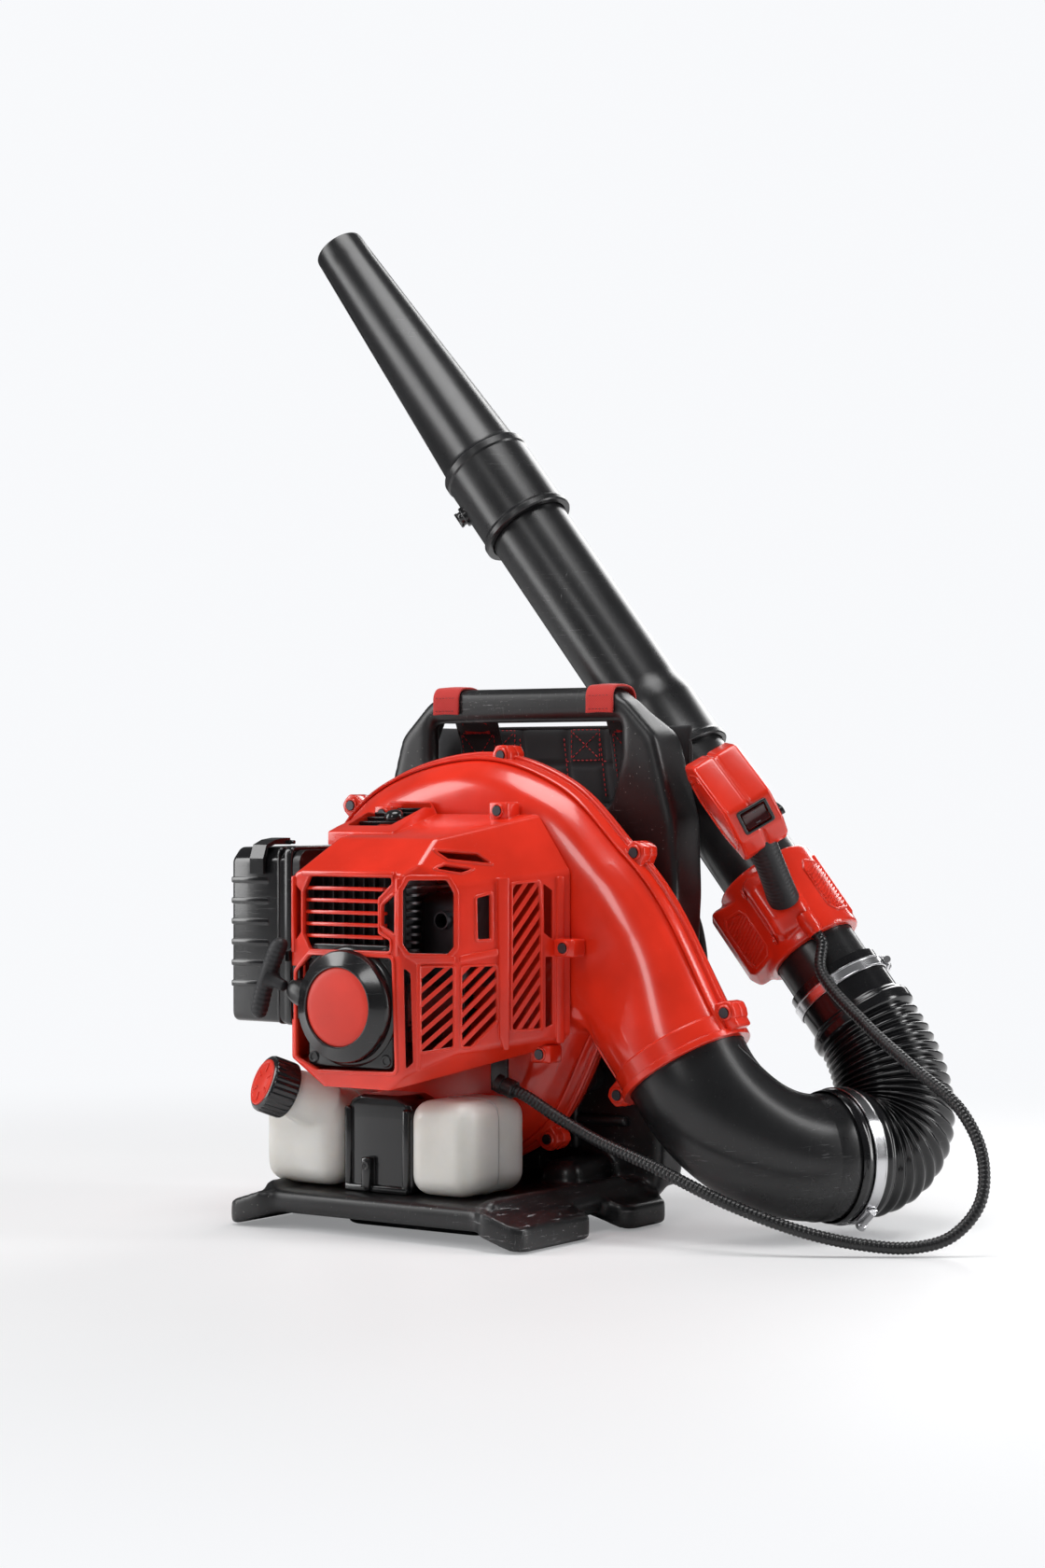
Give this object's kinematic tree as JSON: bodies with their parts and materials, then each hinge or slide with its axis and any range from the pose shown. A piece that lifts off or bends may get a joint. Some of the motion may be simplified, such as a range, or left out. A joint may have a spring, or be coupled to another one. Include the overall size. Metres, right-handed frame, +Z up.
{
  "type": "backpack leaf blower",
  "caption": "Engine-driven backpack leaf blower: scroll fan housing on a frame with a back pad and shoulder straps, feeding a corrugated hose and a tapered hand-held tube with a throttle grip",
  "frame": {"origin": "On the floor, in the middle of the flat belly pad under the base.", "axes": "+Z is up as the blower stands on its base. -Y faces the engine and its pull starter, +Y faces the wearer's back. +X is the side of the air outlet and the hose."},
  "size_m": [0.8248, 0.4331, 0.9667],
  "materials": {
    "red_plastic": "glossy injection moulding",
    "red_cap_plastic": "satin moulding",
    "black_plastic": "satin moulding",
    "grey_plastic": "satin moulding",
    "tank_plastic": "milky translucent blow moulding",
    "hose_plastic": "glossy corrugated plastic",
    "steel": "bright zinc-plated steel",
    "cast_aluminium": "die cast",
    "coil_black": "potting resin over a laminated core",
    "black_rubber": "moulded rubber",
    "filter_felt": "pleated felt",
    "pad_fabric": "woven nylon over foam",
    "red_webbing": "woven webbing",
    "rope_fibre": "braided cord"
  },
  "bodies": {
    "blower": {"fan_housing_front": "red_plastic", "fan_housing_rear": "red_plastic", "housing_screws": "steel", "intake_guard": "black_plastic", "crank_bearings": "steel", "crankcase": "cast_aluminium", "cylinder": "cast_aluminium", "ignition_coil": "coil_black", "spark_plug": "steel", "spark_plug_boot": "black_rubber", "muffler": "steel", "intake_insulator": "black_plastic", "carburetor": "cast_aluminium", "air_filter_base": "black_plastic", "air_filter_element": "filter_felt", "engine_cover": "red_plastic", "cover_screws": "steel", "starter_housing": "black_plastic", "recoil_spring": "steel", "fuel_tank": "tank_plastic", "tank_saddle": "black_plastic", "fuel_lines": "black_rubber", "back_frame": "black_plastic", "isolators": "black_rubber", "back_pad": "pad_fabric", "shoulder_straps": "pad_fabric", "strap_loops": "red_webbing", "strap_buckles": "black_plastic", "elbow": "black_plastic", "elbow_clamp": "steel", "flex_hose": "hose_plastic", "throttle_conduit": "hose_plastic"},
    "crank": {"crankshaft": "steel", "impeller": "black_plastic", "flywheel": "cast_aluminium"},
    "piston_set": {"piston": "cast_aluminium", "piston_rings": "steel", "engine_pins": "steel", "con_rod": "steel"},
    "pulley": {"starter_pulley": "black_plastic", "starter_rope": "rope_fibre"},
    "pull_handle": {"starter_handle": "black_plastic"},
    "trigger_lever": {"trigger": "grey_plastic"},
    "cruise": {"cruise_lever": "black_plastic"},
    "switch": {"stop_switch": "black_plastic"},
    "filter_lid": {"air_filter_cover": "black_plastic"},
    "lid_latch": {"filter_latch": "black_plastic"},
    "choke": {"choke_lever": "black_plastic"},
    "primer": {"primer_bulb": "black_rubber"},
    "cap_lift": {"fuel_cap_seal": "black_rubber"},
    "cap_turn": {"fuel_cap": "red_cap_plastic"},
    "hose_end": {"cuff_clamp": "steel"},
    "blower_tube": {"swivel_tube": "black_plastic", "middle_tube": "black_plastic", "nozzle": "black_plastic", "handle_collar": "red_plastic", "handle_grip": "black_plastic", "control_head": "red_plastic"}
  },
  "joints": [
    {"name": "crank_spin", "type": "hinge", "parent": "blower", "child": "crank", "pos_m": [-0.022, 0, 0.204], "axis": [0, 1, 0], "continuous": true},
    {"name": "piston_stroke", "type": "slide", "parent": "blower", "child": "piston_set", "axis": [0, 0, 1], "range_m": [-0.033, 0]},
    {"name": "starter_pull", "type": "slide", "parent": "blower", "child": "pull_handle", "axis": [-0.9292, 0, 0.3697], "range_m": [0, 0.6]},
    {"name": "pulley_spin", "type": "hinge", "parent": "blower", "child": "pulley", "pos_m": [-0.022, -0.125, 0.204], "axis": [0, 1, 0], "range_deg": [-20, 1300]},
    {"name": "filter_lid_lift", "type": "slide", "parent": "blower", "child": "filter_lid", "axis": [-1, 0, 0], "range_m": [0, 0.08]},
    {"name": "filter_latch_swing", "type": "hinge", "parent": "filter_lid", "child": "lid_latch", "pos_m": [-0.15, -0.062, 0.3465], "axis": [-1, 0, 0], "range_deg": [0, 95]},
    {"name": "choke_swing", "type": "hinge", "parent": "blower", "child": "choke", "pos_m": [-0.095, -0.084, 0.252], "axis": [-1, 0, 0], "range_deg": [0, 35]},
    {"name": "primer_press", "type": "slide", "parent": "blower", "child": "primer", "axis": [0, 1, 0], "range_m": [0, 0.004], "stiffness_N_per_m": 400},
    {"name": "fuel_cap_lift", "type": "slide", "parent": "blower", "child": "cap_lift", "axis": [-0.4613, -0.8123, 0.357], "range_m": [0, 0.06]},
    {"name": "fuel_cap_turn", "type": "hinge", "parent": "cap_lift", "child": "cap_turn", "pos_m": [-0.109, -0.13, 0.13], "axis": [-0.4613, -0.8123, 0.357], "range_deg": [0, 450]},
    {"name": "hose_bend", "type": "hinge", "parent": "blower", "child": "hose_end", "pos_m": [0.337, 0.214, 0.1], "axis": [-0.7536, -0.2688, -0.5999], "range_deg": [0, 80], "deforming": ["flex_hose", "throttle_conduit"]},
    {"name": "tube_twist", "type": "hinge", "parent": "hose_end", "child": "blower_tube", "pos_m": [0.27381, 0.23, 0.21034], "axis": [-0.6228, 0, 0.7824], "range_deg": [0, 45], "deforming": ["throttle_conduit"]},
    {"name": "trigger_pull", "type": "hinge", "parent": "blower_tube", "child": "trigger_lever", "pos_m": [0.20039, 0.14173, 0.3973], "axis": [-0.6249, -0.6018, -0.4974], "range_deg": [0, 14], "stiffness_Nm_per_rad": 0.3},
    {"name": "cruise_swing", "type": "hinge", "parent": "blower_tube", "child": "cruise", "pos_m": [0.24908, 0.1428, 0.3811], "axis": [0.6249, 0.6018, 0.4974], "range_deg": [0, 50]},
    {"name": "stop_rock", "type": "hinge", "parent": "blower_tube", "child": "switch", "pos_m": [0.25358, 0.10771, 0.37165], "axis": [0.6249, 0.6018, 0.4974], "range_deg": [-8, 8]}
  ],
  "couplings": [
    {"joint": "pulley_spin", "follows": "starter_pull", "rad_per_m": 36.232}
  ]
}
